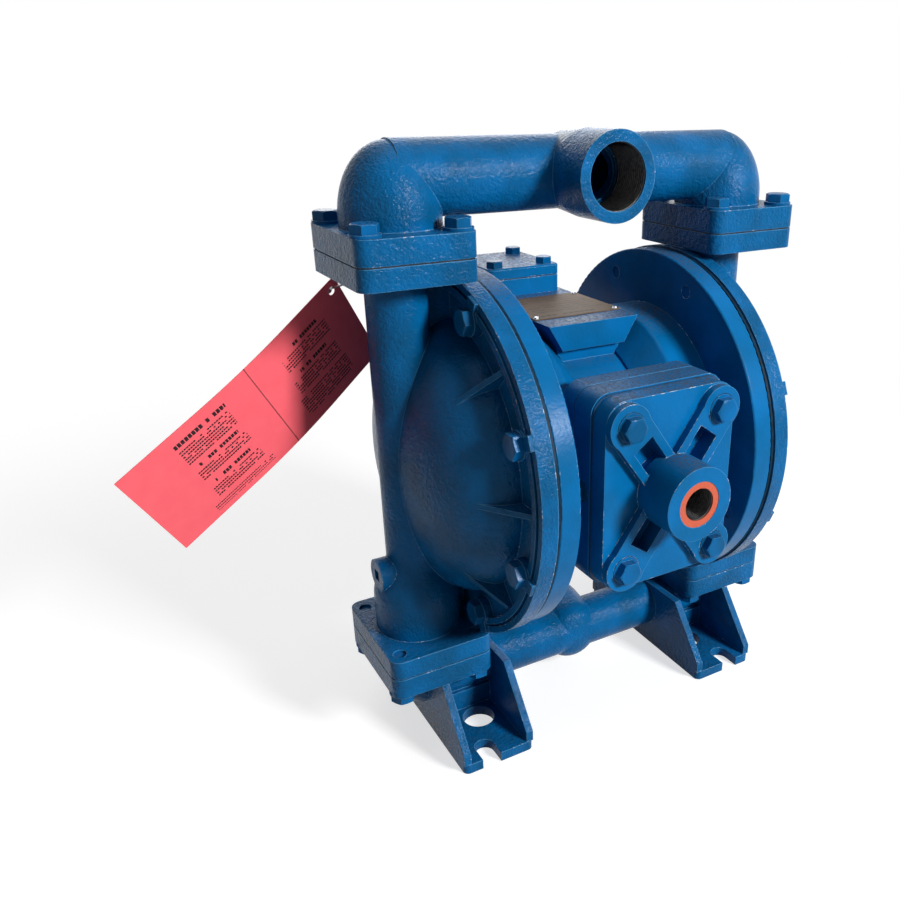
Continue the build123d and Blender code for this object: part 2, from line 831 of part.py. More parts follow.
for level, name in ((top_joint_z, "discharge_gaskets"), (base_gasket_z, "suction_gaskets")):
    with BuildPart() as gaskets:
        with BuildSketch(Plane.XY.offset(level)):
            with GridLocations(column_spacing, 1, 2, 1):
                RectangleRounded(
                    2 * flange_half_x - 2, 2 * flange_half_y - 2, flange_corner_radius - 1
                )
                Circle(column_bore_radius, mode=Mode.SUBTRACT)
                with Locations(*flange_bolt_points):
                    Circle(bolt_shank_radius + hole_clearance, mode=Mode.SUBTRACT)
        extrude(amount=gasket_thickness)
    save(gaskets, name)


def seat_rings(level):
    """Two valve seats with a 45 degree face for the ball, one under each column."""
    with BuildPart() as rings:
        for x in (-column_x, column_x):
            with BuildSketch(Plane(origin=(x, 0, level), x_dir=(1, 0, 0), z_dir=(0, -1, 0))):
                Polygon(
                    (seat_bore_radius, 0),
                    (seat_rim_radius, 0),
                    (seat_rim_radius, seat_thickness),
                    (seat_rim_radius - 5, seat_thickness),
                    (seat_bore_radius, seat_thickness - (seat_rim_radius - 5 - seat_bore_radius)),
                    align=None,
                )
            revolve(axis=Axis((x, 0, 0), (0, 0, 1)))
    return rings


save(seat_rings(base_top_z), "suction_seats")
save(seat_rings(discharge_flange_z), "discharge_seats")

for stage, ball_z in (("suction", suction_ball_z), ("discharge", discharge_ball_z)):
    for side, side_name in ((-1, "left"), (1, "right")):
        with BuildPart() as ball:
            with Locations((side * column_x, 0, ball_z)):
                Sphere(ball_radius)
        save(ball, stage + "_ball_" + side_name)


# Diaphragm assembly -----------------------------------------------------------------

diaphragm_mid_x = diaphragm_x + diaphragm_thickness / 2
rod_half_length = diaphragm_x - inner_plate_thickness

with BuildPart() as diaphragm_rod:
    with BuildSketch(rod_plane(-rod_half_length)):
        Circle(rod_radius)
    extrude(amount=2 * rod_half_length)
    chamfer(diaphragm_rod.edges().filter_by(GeomType.CIRCLE), 1)

save(diaphragm_rod, "diaphragm_rod")

for side, side_name in ((1, "right"), (-1, "left")):
    station = Plane(origin=(0, 0, rod_height), x_dir=(side, 0, 0), z_dir=(0, side * -1.0, 0))
    turn = Axis((0, 0, rod_height), (1, 0, 0))
    with BuildPart() as inner_plate:
        with BuildSketch(station):
            Polygon(
                (diaphragm_x, 0),
                (diaphragm_x, plate_radius),
                (diaphragm_x - 2.5, plate_radius),
                (diaphragm_x - inner_plate_thickness, plate_radius - 14),
                (diaphragm_x - inner_plate_thickness, 0),
                align=None,
            )
        revolve(axis=turn)
    save(inner_plate, "inner_plate_" + side_name)
    with BuildPart() as outer_plate:
        with BuildSketch(station):
            with BuildLine():
                Polyline(
                    (outer_rim_x + outer_plate_thickness, 0),
                    (outer_rim_x, 0),
                    (outer_rim_x, plate_radius),
                    (outer_rim_x + 3, plate_radius),
                )
                ThreePointArc(
                    (outer_rim_x + 3, plate_radius),
                    (outer_rim_x + outer_plate_thickness * 0.8, plate_radius * 0.55),
                    (outer_rim_x + outer_plate_thickness, 0),
                )
            make_face()
        revolve(axis=turn)
        with BuildSketch(rod_plane(side * (outer_rim_x + outer_plate_thickness - 2))):
            RegularPolygon(bolt_flats / 2, 6, major_radius=False)
        extrude(amount=side * 8)
    save(outer_plate, "outer_plate_" + side_name)
    with BuildPart() as diaphragm:
        with BuildSketch(station):
            web = diaphragm_thickness
            roll_mid = (web_roll_inner_radius + web_roll_outer_radius) / 2
            with BuildLine():
                Line((diaphragm_x, 0), (diaphragm_x, web_roll_inner_radius))
                ThreePointArc(
                    (diaphragm_x, web_roll_inner_radius),
                    (diaphragm_x - web_roll_depth, roll_mid),
                    (diaphragm_x, web_roll_outer_radius),
                )
                Polyline(
                    (diaphragm_x, web_roll_outer_radius),
                    (diaphragm_x, inner_rim_radius),
                    (outer_rim_x, inner_rim_radius),
                    (outer_rim_x, web_roll_outer_radius - web),
                )
                ThreePointArc(
                    (outer_rim_x, web_roll_outer_radius - web),
                    (outer_rim_x - web_roll_depth, roll_mid),
                    (outer_rim_x, web_roll_inner_radius + web),
                )
                Polyline(
                    (outer_rim_x, web_roll_inner_radius + web),
                    (outer_rim_x, 0),
                    (diaphragm_x, 0),
                )
            make_face()
        revolve(axis=turn)
        with BuildSketch(rod_plane(side * diaphragm_x)):
            with Locations(*clamp_points):
                Circle(bolt_shank_radius + hole_clearance)
        extrude(amount=side * diaphragm_thickness, mode=Mode.SUBTRACT)
    save(diaphragm, "diaphragm_" + side_name)

with BuildPart() as rod_bushings:
    for side in (-1, 1):
        with BuildSketch(rod_plane(side * hub_face_x)):
            Circle(rod_radius + bushing_wall)
            Circle(rod_radius + running_clearance, mode=Mode.SUBTRACT)
        extrude(amount=side * 2.5 * dish_wall)

save(rod_bushings, "rod_bushings")


# Pilot spool and plungers -------------------------------------------------------------

with BuildPart() as pilot_sleeve:
    with BuildSketch(rod_plane(-hub_face_x + 2)):
        with Locations((0, pilot_rise)):
            Circle(pilot_spool_radius + running_clearance + pilot_sleeve_wall)
            Circle(pilot_spool_radius + running_clearance, mode=Mode.SUBTRACT)
    extrude(amount=2 * hub_face_x - 4)

save(pilot_sleeve, "pilot_sleeve")


def grooved_spool(center, radius, length, lands):
    """Spool along X with even lands and waists two thirds as thick."""
    with BuildPart() as spool:
        with BuildSketch(Plane(
            origin=(center[0] - length / 2, center[1], center[2]), x_dir=(0, 1, 0), z_dir=(1, 0, 0)
        )):
            Circle(radius * 2 / 3)
        extrude(amount=length)
        for index in range(lands):
            land_x = center[0] - length / 2 + length * index / (lands - 0.5)
            with BuildSketch(Plane(
                origin=(land_x, center[1], center[2]), x_dir=(0, 1, 0), z_dir=(1, 0, 0)
            )):
                Circle(radius)
            extrude(amount=length / (2 * lands - 1))
    return spool


save(
    grooved_spool((0, 0, pilot_z), pilot_spool_radius, pilot_spool_length, 4),
    "pilot_spool",
)

plunger_start_x = pilot_spool_length / 2 + plunger_gap
plunger_end_x = rod_half_length - rod_travel - pilot_travel - plunger_gap
for side, side_name in ((-1, "left"), (1, "right")):
    with BuildPart() as plunger:
        with BuildSketch(rod_plane(side * plunger_start_x)):
            with Locations((0, pilot_rise)):
                Circle(plunger_radius)
        extrude(amount=side * (plunger_end_x - plunger_start_x))
    save(plunger, "actuator_plunger_" + side_name)


# Main air valve -----------------------------------------------------------------------

sleeve_radius = spool_radius + running_clearance + sleeve_wall

with BuildPart() as main_valve_body:
    with BuildSketch(front_plane(gasket_front_y)):
        RectangleRounded(2 * stack_half_width, 2 * stack_half_height, stack_corner_radius)
        with Locations(*cap_bolt_points):
            Circle(small_bolt_shank_radius + hole_clearance, mode=Mode.SUBTRACT)
    extrude(amount=valve_body_thickness)
    with BuildSketch(Plane(
        origin=(-stack_half_width, -spool_y, rod_height), x_dir=(0, 1, 0), z_dir=(1, 0, 0)
    )):
        Circle(sleeve_radius + fit_clearance)
    extrude(amount=2 * stack_half_width, mode=Mode.SUBTRACT)
    # air passages between the sleeve and the two faces
    with BuildSketch(front_plane(gasket_front_y)):
        Circle(spool_radius)
        with Locations((-2 * sleeve_radius, 0), (2 * sleeve_radius, 0)):
            Circle(spool_radius)
    extrude(amount=valve_body_thickness / 2, mode=Mode.SUBTRACT)
    with BuildSketch(front_plane(valve_body_face_y)):
        Circle(spool_radius)
    extrude(amount=-valve_body_thickness / 2, mode=Mode.SUBTRACT)

save(main_valve_body, "main_valve_body")

for face_y, name in ((pad_face_y, "valve_gasket_rear"), (valve_body_face_y, "valve_gasket_front")):
    with BuildPart() as gasket:
        with BuildSketch(front_plane(face_y)):
            RectangleRounded(
                2 * stack_half_width - 2, 2 * stack_half_height - 2, stack_corner_radius - 1
            )
            Circle(spool_radius, mode=Mode.SUBTRACT)
            with Locations(*cap_bolt_points):
                Circle(small_bolt_shank_radius + hole_clearance, mode=Mode.SUBTRACT)
        extrude(amount=gasket_thickness)
    save(gasket, name)

with BuildPart() as valve_sleeve:
    with BuildSketch(Plane(
        origin=(-sleeve_length / 2, -spool_y, rod_height), x_dir=(0, 1, 0), z_dir=(1, 0, 0)
    )):
        Circle(sleeve_radius)
        Circle(spool_radius + running_clearance, mode=Mode.SUBTRACT)
    extrude(amount=sleeve_length)
    # ring of ports at the middle and on each side of it
    for port_x in (-2 * sleeve_radius, 0, 2 * sleeve_radius):
        with BuildSketch(Plane(
            origin=(port_x, -spool_y, rod_height), x_dir=(1, 0, 0), z_dir=(0, -1, 0)
        )):
            Circle(spool_radius / 2)
        extrude(amount=sleeve_radius * 2, both=True, mode=Mode.SUBTRACT)

save(valve_sleeve, "valve_sleeve")
save(
    grooved_spool((0, -spool_y, rod_height), spool_radius, spool_length, 5),
    "main_spool",
)

with BuildPart() as valve_end_plugs:
    for side in (-1, 1):
        with BuildSketch(Plane(
            origin=(side * (sleeve_length / 2 + part_gap), -spool_y, rod_height),
            x_dir=(0, 1, 0),
            z_dir=(1, 0, 0),
        )):
            Circle(sleeve_radius)
        extrude(amount=side * end_plug_length)

save(valve_end_plugs, "valve_end_plugs")

with BuildPart() as air_inlet_cap:
    with BuildSketch(front_plane(cap_back_y)):
        RectangleRounded(2 * cap_half_width, 2 * cap_half_height, cap_arm_half_width)
    extrude(amount=cap_plate_thickness)
    # raised arms from the bolt bosses to the inlet boss
    with BuildSketch(front_plane(cap_face_y)):
        for across, up in cap_bolt_points:
            reach = sqrt(across**2 + up**2)
            lean = Vector(across, up, 0).get_signed_angle(Vector(1, 0, 0)) * -1
            with Locations(Location((0, 0), lean)):
                Rectangle(
                    reach, 2 * cap_arm_half_width - 2, align=(Align.MIN, Align.CENTER)
                )
            with Locations((across, up)):
                Circle(cap_arm_half_width)
    extrude(amount=cap_arm_height)
    # deep pockets between the inlet boss and the bolts, spot faces at the bolts
    with BuildSketch(front_plane(cap_arm_y)):
        for across, up in cap_bolt_points:
            reach = sqrt(across**2 + up**2)
            lean = Vector(across, up, 0).get_signed_angle(Vector(1, 0, 0)) * -1
            pocket_length = reach - cap_spot_radius - cap_pocket_wall - inlet_boss_radius + 1
            with Locations(Location((0, 0), lean)):
                with Locations((inlet_boss_radius - 1 + pocket_length / 2, 0)):
                    Rectangle(pocket_length, cap_pocket_width)
    extrude(amount=-cap_pocket_depth, mode=Mode.SUBTRACT)
    with BuildSketch(front_plane(cap_arm_y)):
        with Locations(*cap_bolt_points):
            Circle(cap_spot_radius)
    extrude(amount=-cap_spot_depth, mode=Mode.SUBTRACT)
    # inlet boss with its stepped bore
    with BuildSketch(front_plane(cap_face_y - 1)):
        Circle(inlet_boss_radius)
    extrude(amount=inlet_face_y - cap_face_y + 1)
    with BuildSketch(front_plane(inlet_face_y)):
        Circle(inlet_ring_outer_radius + fit_clearance)
    extrude(amount=-inlet_ring_length, mode=Mode.SUBTRACT)
    with BuildSketch(front_plane(inlet_face_y)):
        Circle(inlet_bore_radius)
    extrude(amount=-(inlet_face_y - cap_back_y) + 4, mode=Mode.SUBTRACT)
    with BuildSketch(front_plane(cap_back_y)):
        Circle(spool_radius)
        with Locations(*cap_bolt_points):
            Circle(small_bolt_shank_radius + hole_clearance)
    extrude(amount=cap_plate_thickness + cap_arm_height, mode=Mode.SUBTRACT)

save(air_inlet_cap, "air_inlet_cap")

with BuildPart() as inlet_thread_ring:
    with BuildSketch(front_plane(inlet_face_y - 0.4)):
        Circle(inlet_ring_outer_radius)
        Circle(inlet_bore_radius, mode=Mode.SUBTRACT)
    extrude(amount=-inlet_ring_length + 0.4)

save(inlet_thread_ring, "inlet_thread_ring")


# Pilot signal block ---------------------------------------------------------------------

block_center_y = (block_front_y + block_rear_y) / 2
block_depth = block_rear_y - block_front_y

with BuildPart() as pilot_block:
    with BuildSketch(Plane.XY.offset(deck_z)):
        with Locations((0, block_center_y)):
            RectangleRounded(2 * block_half_width, block_depth, 5)
            with GridLocations(2 * block_bolt_x, 2 * block_bolt_y, 2, 2):
                Circle(small_bolt_shank_radius + hole_clearance, mode=Mode.SUBTRACT)
    extrude(amount=block_body_thickness)

save(pilot_block, "pilot_block")

with BuildPart() as pilot_block_gasket:
    with BuildSketch(Plane.XY.offset(deck_z + block_body_thickness)):
        with Locations((0, block_center_y)):
            RectangleRounded(2 * block_half_width - 1.5, block_depth - 1.5, 5)
            with GridLocations(2 * block_bolt_x, 2 * block_bolt_y, 2, 2):
                Circle(small_bolt_shank_radius + hole_clearance, mode=Mode.SUBTRACT)
    extrude(amount=gasket_thickness)

save(pilot_block_gasket, "pilot_block_gasket")

block_cover_z = deck_z + block_body_thickness + gasket_thickness
with BuildPart() as pilot_block_cover:
    with BuildSketch(Plane.XY.offset(block_cover_z)):
        with Locations((0, block_center_y)):
            RectangleRounded(2 * block_half_width, block_depth, 5)
            with GridLocations(2 * block_bolt_x, 2 * block_bolt_y, 2, 2):
                Circle(small_bolt_shank_radius + hole_clearance, mode=Mode.SUBTRACT)
    extrude(amount=block_cover_thickness)
    chamfer(pilot_block_cover.faces().sort_by(Axis.Z)[-1].outer_wire().edges(), 1.2)

save(pilot_block_cover, "pilot_block_cover")


# Fasteners ------------------------------------------------------------------------------

def hex_bolt(flats, head_height, shank_radius, shank_length, washer=0.0, washer_radius=0.0):
    """Hex bolt along Z with its bearing face at the origin and the head above."""
    with BuildPart() as bolt:
        if washer:
            Cylinder(washer_radius, washer, align=(Align.CENTER, Align.CENTER, Align.MIN))
        with BuildSketch(Plane.XY.offset(washer)):
            RegularPolygon(flats / 2, 6, major_radius=False)
        extrude(amount=head_height)
        with BuildSketch(Plane.XZ):
            corner = flats / sqrt(3)
            Polygon(
                (corner + 1, washer + head_height + 1),
                (corner + 1, washer + head_height - 1.2),
                (flats / 2 - 0.6, washer + head_height),
                (flats / 2 - 0.6, washer + head_height + 1),
                align=None,
            )
        revolve(axis=Axis.Z, mode=Mode.SUBTRACT)
        Cylinder(shank_radius, shank_length, align=(Align.CENTER, Align.CENTER, Align.MAX))
    return bolt.part


clamp_shank = clamp_face_x - rim_face_x
clamp_bolt = hex_bolt(bolt_flats, bolt_head_height, bolt_shank_radius, clamp_shank - 1)
for side, side_name in ((1, "right"), (-1, "left")):
    with BuildPart() as clamp_bolts:
        face = Plane(
            origin=(side * clamp_face_x, 0, rod_height), x_dir=(0, 1, 0), z_dir=(side, 0, 0)
        )
        with Locations(face):
            with Locations(*clamp_points):
                add(clamp_bolt)
    save(clamp_bolts, "clamp_bolts_" + side_name)

manifold_shank = manifold_flange_thickness + gasket_thickness + chamber_flange_thickness - 2
manifold_bolt = hex_bolt(
    bolt_flats, bolt_head_height, bolt_shank_radius, manifold_shank, washer_thickness, washer_radius
)
with BuildPart() as discharge_bolts:
    with Locations(Plane.XY.offset(discharge_flange_top_z)):
        with GridLocations(column_spacing, 1, 2, 1):
            with Locations(*flange_bolt_points):
                add(manifold_bolt)
save(discharge_bolts, "discharge_bolts")

with BuildPart() as suction_bolts:
    with Locations(Plane(origin=(0, 0, suction_flange_z), x_dir=(1, 0, 0), z_dir=(0, 0, -1))):
        with GridLocations(column_spacing, 1, 2, 1):
            with Locations(*flange_bolt_points):
                add(manifold_bolt)
save(suction_bolts, "suction_bolts")

cap_bolt = hex_bolt(
    cap_bolt_flats,
    bolt_head_height,
    small_bolt_shank_radius,
    cap_seat_y - pad_face_y + valve_pad_thickness - 1,
    cap_washer_thickness,
    cap_spot_radius - cap_washer_inset,
)
with BuildPart() as cap_bolts:
    with Locations(front_plane(cap_seat_y)):
        with Locations(*cap_bolt_points):
            add(cap_bolt)
save(cap_bolts, "cap_bolts")

block_bolt = hex_bolt(
    small_bolt_flats,
    small_bolt_head_height,
    small_bolt_shank_radius,
    block_body_thickness + gasket_thickness + block_cover_thickness + deck_thickness / 2 - 1,
)
with BuildPart() as block_bolts:
    with Locations(Plane(origin=(0, block_center_y, block_cover_z + block_cover_thickness))):
        with GridLocations(2 * block_bolt_x, 2 * block_bolt_y, 2, 2):
            add(block_bolt)
save(block_bolts, "block_bolts")

plug_z = base_flange_top_z + plug_boss_rise
with BuildPart() as priming_plugs:
    for side in (-1, 1):
        face = Plane(
            origin=(side * (column_x + plug_boss_reach), 0, plug_z),
            x_dir=(0, 1, 0),
            z_dir=(side, 0, 0),
        )
        with BuildSketch(face):
            Circle(plug_radius)
        extrude(amount=-(plug_boss_reach - column_radius + 2))
        with BuildSketch(face):
            Rectangle(plug_radius, plug_radius)
        extrude(amount=-4, mode=Mode.SUBTRACT)
save(priming_plugs, "priming_plugs")


# Data plate -----------------------------------------------------------------------------

plate_center_y = nameplate_front_y + nameplate_depth / 2
with BuildPart() as nameplate:
    with BuildSketch(Plane.XY.offset(deck_z)):
        with Locations((0, plate_center_y)):
            RectangleRounded(nameplate_width, nameplate_depth, 2)
            with GridLocations(
                nameplate_width - 2 * pin_inset, nameplate_depth - 2 * pin_inset, 2, 2
            ):
                Circle(pin_radius, mode=Mode.SUBTRACT)
    extrude(amount=nameplate_thickness)
save(nameplate, "nameplate")

with BuildPart() as nameplate_pins:
    with BuildSketch(Plane.XY.offset(deck_z)):
        with Locations((0, plate_center_y)):
            with GridLocations(
                nameplate_width - 2 * pin_inset, nameplate_depth - 2 * pin_inset, 2, 2
            ):
                Circle(pin_radius - fit_clearance)
    extrude(amount=nameplate_thickness + 0.2)
    with BuildSketch(Plane.XY.offset(deck_z + nameplate_thickness)):
        with Locations((0, plate_center_y)):
            with GridLocations(
                nameplate_width - 2 * pin_inset, nameplate_depth - 2 * pin_inset, 2, 2
            ):
                Circle(pin_radius * 1.5)
    extrude(amount=1.2, taper=30)
save(nameplate_pins, "nameplate_pins")


# Card tag and its wire tie ----------------------------------------------------------------

across = Vector(*tag_across).normalized()
along = Vector(*tag_along).normalized()
along = (along - across * along.dot(across)).normalized()
along_lower = Vector(*tag_along_lower).normalized()
along_lower = (along_lower - across * along_lower.dot(across)).normalized()
tag_normal = across.cross(along)
tag_corner = Vector(*tag_hole) - (across + along) * tag_hole_inset
fold = tag_corner + along * tag_upper_length

with BuildPart() as hang_tag:
    with BuildSketch(Plane(origin=tag_corner, x_dir=across, z_dir=tag_normal)):
        Rectangle(tag_width, tag_upper_length + tag_thickness / 2, align=(Align.MIN, Align.MIN))
        with Locations((tag_hole_inset, tag_hole_inset)):
            Circle(tag_hole_radius, mode=Mode.SUBTRACT)
    extrude(amount=tag_thickness)
    with BuildSketch(Plane(origin=fold, x_dir=across, z_dir=across.cross(along_lower))):
        Rectangle(tag_width, tag_lower_length, align=(Align.MIN, Align.MIN))
    extrude(amount=tag_thickness)

save(hang_tag, "hang_tag")

# the wire is a loose ring round the column, drawn out through the hole to a knot
tie_ring_z = top_flange_z - tie_radius - part_gap
tie_ring_radius = column_radius + tie_radius + part_gap
tie_start = Vector(-column_x, tie_ring_radius, tie_ring_z)
tie_end = Vector(*tag_hole) + tag_normal * (tag_thickness + tie_knot_radius + 2 * part_gap)
tie_run = tie_end - tie_start

with BuildPart() as tag_tie:
    with Locations(Location((-column_x, 0, tie_ring_z))):
        Torus(tie_ring_radius, tie_radius)
    with BuildSketch(Plane(origin=tie_start, z_dir=tie_run.normalized())):
        Circle(tie_radius)
    extrude(amount=tie_run.length)
    with Locations(Location(tie_end)):
        Sphere(tie_knot_radius)

save(tag_tie, "tag_tie")
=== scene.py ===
import json
from math import atan2, cos, sin

import bmesh
import bpy
from mathutils import Matrix, Vector


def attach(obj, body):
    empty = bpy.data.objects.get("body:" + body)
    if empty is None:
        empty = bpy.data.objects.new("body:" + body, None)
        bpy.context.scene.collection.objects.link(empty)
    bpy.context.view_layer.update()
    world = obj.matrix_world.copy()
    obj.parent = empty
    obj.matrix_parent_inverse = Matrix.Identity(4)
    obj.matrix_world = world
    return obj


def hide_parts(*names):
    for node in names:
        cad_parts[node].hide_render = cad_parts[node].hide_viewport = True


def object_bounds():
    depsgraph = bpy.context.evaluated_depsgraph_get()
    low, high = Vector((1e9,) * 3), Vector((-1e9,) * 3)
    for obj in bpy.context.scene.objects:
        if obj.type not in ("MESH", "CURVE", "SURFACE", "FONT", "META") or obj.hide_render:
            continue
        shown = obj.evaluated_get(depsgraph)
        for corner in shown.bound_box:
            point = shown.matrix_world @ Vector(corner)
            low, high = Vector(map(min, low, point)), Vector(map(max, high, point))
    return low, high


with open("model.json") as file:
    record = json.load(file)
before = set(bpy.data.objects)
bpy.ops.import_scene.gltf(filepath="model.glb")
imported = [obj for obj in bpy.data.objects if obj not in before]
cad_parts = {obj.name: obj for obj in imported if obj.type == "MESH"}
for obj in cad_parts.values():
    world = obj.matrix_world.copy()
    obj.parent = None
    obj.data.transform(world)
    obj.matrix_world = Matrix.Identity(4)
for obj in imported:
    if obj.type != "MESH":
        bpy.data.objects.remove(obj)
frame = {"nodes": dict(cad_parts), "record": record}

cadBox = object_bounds()
mm = 0.001
nodes = frame["nodes"]
scene = bpy.context.scene
scene.view_settings.view_transform = "Standard"


def linearColour(hexText):
    channels = [int(hexText[i:i + 2], 16) / 255 for i in (1, 3, 5)]
    return [c / 12.92 if c <= 0.04045 else ((c + 0.055) / 1.055) ** 2.4
            for c in channels] + [1.0]


def addNode(tree, kind, settings=None, links=None):
    node = tree.nodes.new(kind)
    for key, value in (settings or {}).items():
        if isinstance(key, str) and key[0].islower():
            setattr(node, key, value)
        else:
            node.inputs[key].default_value = value
    for key, source in (links or {}).items():
        tree.links.new(source, node.inputs[key])
    return node


def newMaterial(name):
    material = bpy.data.materials.new(name)
    material.use_nodes = True
    material.node_tree.nodes.clear()
    return material, material.node_tree


def finishMaterial(tree, shader):
    addNode(tree, "ShaderNodeOutputMaterial", {}, {"Surface": shader.outputs[0]})


cameraSettings = {
    "place": (-360.5, -575.8, 490.1),  # mm
    "heading": 0.549,  # radians from +Y towards +X
    "tilt": 0.410,  # radians below the horizon
    "roll": 0.004,
    "focalPixels": 872.6,
    "centrePixel": (560, 470),
    "frame": 900,
}


def makeCamera(s):
    data = bpy.data.cameras.new("camera")
    data.sensor_width = 36
    data.lens = s["focalPixels"] / s["frame"] * 36
    data.shift_x = (s["frame"] / 2 - s["centrePixel"][0]) / s["frame"]
    data.shift_y = (s["centrePixel"][1] - s["frame"] / 2) / s["frame"]
    a, e, r = s["heading"], s["tilt"], s["roll"]
    ahead = Vector((sin(a) * cos(e), cos(a) * cos(e), -sin(e)))
    side = Vector((cos(a), -sin(a), 0))
    rise = side.cross(ahead)
    right = side * cos(r) + rise * sin(r)
    up = rise * cos(r) - side * sin(r)
    turn = Matrix((right, up, -ahead)).transposed()
    camera = bpy.data.objects.new("camera", data)
    camera.matrix_world = Matrix.Translation(Vector(s["place"]) * mm) @ turn.to_4x4()
    scene.collection.objects.link(camera)
    scene.camera = camera


makeCamera(cameraSettings)
print("camera ready")


# alkyd enamel sprayed over sand-cast iron: a deep wet blue that follows the sand's grain, paler
# along corners (thin paint plus a painted highlight), knocked to bare iron in places, dusty where
# it faces up
roughSettings = {
    "colour": "#045F98", "thickColour": "#054E7A", "thinPaintAndHighlightColour": "#5F9CC6",
    "dustColour": "#4A4540", "ironColour": "#C3CBD1",
    "sandGrain": 1.6, "sandHeight": 0.6,  # mm
    "runSize": 3.4, "runHeight": 0.7,  # mm, waves in the wet coat
    "cornerRadius": 1.3,  # mm
    "roughness": 0.2, "gloss": 0.075,
    "thickSize": 31, "toneRange": (0.35, 0.65),  # mm, then noise that maps to thin and thick
    "dust": 0.1, "dustSize": 2.4, "dustRange": (0.38, 0.6), "dustRoughness": 0.72,
    "dustFacing": (0.86, 0.99),  # upward part of the normal, where dust starts and is full
    # share of the pale corner colour: thin paint plus a painted highlight on edges
    "edgeFacing": (0.99, 0.84), "wearAndHighlight": 0.6,
    "chips": 0.6, "chipSize": 3.1, "chipEdge": 0.3,
    "knocks": 0.55, "knockSize": 38,  # chips come in a few places only
}
fineSettings = dict(roughSettings, colour="#0465A1", thickColour="#055B8E",
                    sandGrain=2.4, sandHeight=0.16, runSize=7.0, runHeight=0.12,
                    cornerRadius=0.9, roughness=0.27, dust=0.7, chips=0.54)
boltSettings = dict(roughSettings, colour="#0463A0", sandGrain=2.0, sandHeight=0.1,
                    runSize=5.0, runHeight=0.16, cornerRadius=0.5, roughness=0.22,
                    dust=0.3, chips=0.66)


def enamelOverCasting(name, s):
    material, tree = newMaterial(name)
    place = addNode(tree, "ShaderNodeTexCoord").outputs["Object"]
    flat = addNode(tree, "ShaderNodeNewGeometry").outputs["Normal"]
    grains = {}
    for label, detail in (("sandGrain", 2.0), ("runSize", 1.0), ("thickSize", 3.0),
                          ("dustSize", 4.0), ("chipSize", 3.0), ("knockSize", 1.0)):
        grains[label] = addNode(tree, "ShaderNodeTexNoise",
                                {"Scale": 1 / (s[label] * mm), "Detail": detail},
                                {"Vector": place}).outputs["Fac"]

    # corners are rounded in the shading, and where that turns the normal there is an edge
    corner = addNode(tree, "ShaderNodeBevel",
                     {"samples": 6, "Radius": s["cornerRadius"] * mm}).outputs[0]
    facing = addNode(tree, "ShaderNodeVectorMath", {"operation": "DOT_PRODUCT"},
                     {0: corner, 1: flat}).outputs["Value"]
    up = addNode(tree, "ShaderNodeSeparateXYZ", {}, {"Vector": flat}).outputs["Z"]
    shares = {}
    for label, source, span, top in (("edge", facing, s["edgeFacing"], 1.0),
                                     ("tone", grains["thickSize"], s["toneRange"], 1.0),
                                     ("settle", up, s["dustFacing"], s["dust"]),
                                     ("patch", grains["dustSize"], s["dustRange"], 1.0)):
        shares[label] = addNode(tree, "ShaderNodeMapRange",
                                {"From Min": span[0], "From Max": span[1], "To Max": top},
                                {"Value": source}).outputs[0]

    # height in mm: sand grain plus the slow waves of the coat
    grain = addNode(tree, "ShaderNodeMath", {"operation": "MULTIPLY", 1: s["sandHeight"]},
                    {0: grains["sandGrain"]})
    height = addNode(tree, "ShaderNodeMath", {"operation": "MULTIPLY_ADD", 1: s["runHeight"]},
                     {0: grains["runSize"], 2: grain.outputs[0]})
    bump = addNode(tree, "ShaderNodeBump", {"Strength": 1.0, "Distance": mm},
                   {"Height": height.outputs[0], "Normal": corner})

    dusty = addNode(tree, "ShaderNodeMath", {"operation": "MULTIPLY"},
                    {0: shares["settle"], 1: shares["patch"]}).outputs[0]
    # corners are lightened: thin paint, plus a painted highlight where rounded edges catch light
    wornAndHighlit = addNode(tree, "ShaderNodeMath", {"operation": "MULTIPLY", 1: s["wearAndHighlight"]},
                   {0: shares["edge"]}).outputs[0]
    bare = None
    for source, level in ((grains["chipSize"], s["chips"]), (grains["knockSize"], s["knocks"]),
                          (shares["edge"], s["chipEdge"])):
        past = addNode(tree, "ShaderNodeMath", {"operation": "GREATER_THAN", 1: level},
                       {0: source}).outputs[0]
        bare = past if bare is None else addNode(
            tree, "ShaderNodeMath", {"operation": "MULTIPLY"}, {0: bare, 1: past}).outputs[0]

    # each layer covers the one before: thick coat, dust, pale corners (thin paint plus painted
    # highlight), bare chips
    colour = None
    for share, hexText in ((shares["tone"], s["thickColour"]), (dusty, s["dustColour"]),
                           (wornAndHighlit, s["thinPaintAndHighlightColour"]), (bare, s["ironColour"])):
        layer = addNode(tree, "ShaderNodeMix",
                        {"data_type": "RGBA", 6: linearColour(s["colour"]),
                         7: linearColour(hexText)}, {0: share})
        if colour is not None:
            tree.links.new(colour, layer.inputs[6])
        colour = layer.outputs[2]
    rough = addNode(tree, "ShaderNodeMapRange",
                    {"To Min": s["roughness"], "To Max": s["dustRoughness"]}, {"Value": dusty})
    shader = addNode(tree, "ShaderNodeBsdfPrincipled",
                     {"IOR": 1.5, "Specular IOR Level": s["gloss"]},
                     {"Base Color": colour, "Roughness": rough.outputs[0],
                      "Normal": bump.outputs[0]})
    finishMaterial(tree, shader)
    return material


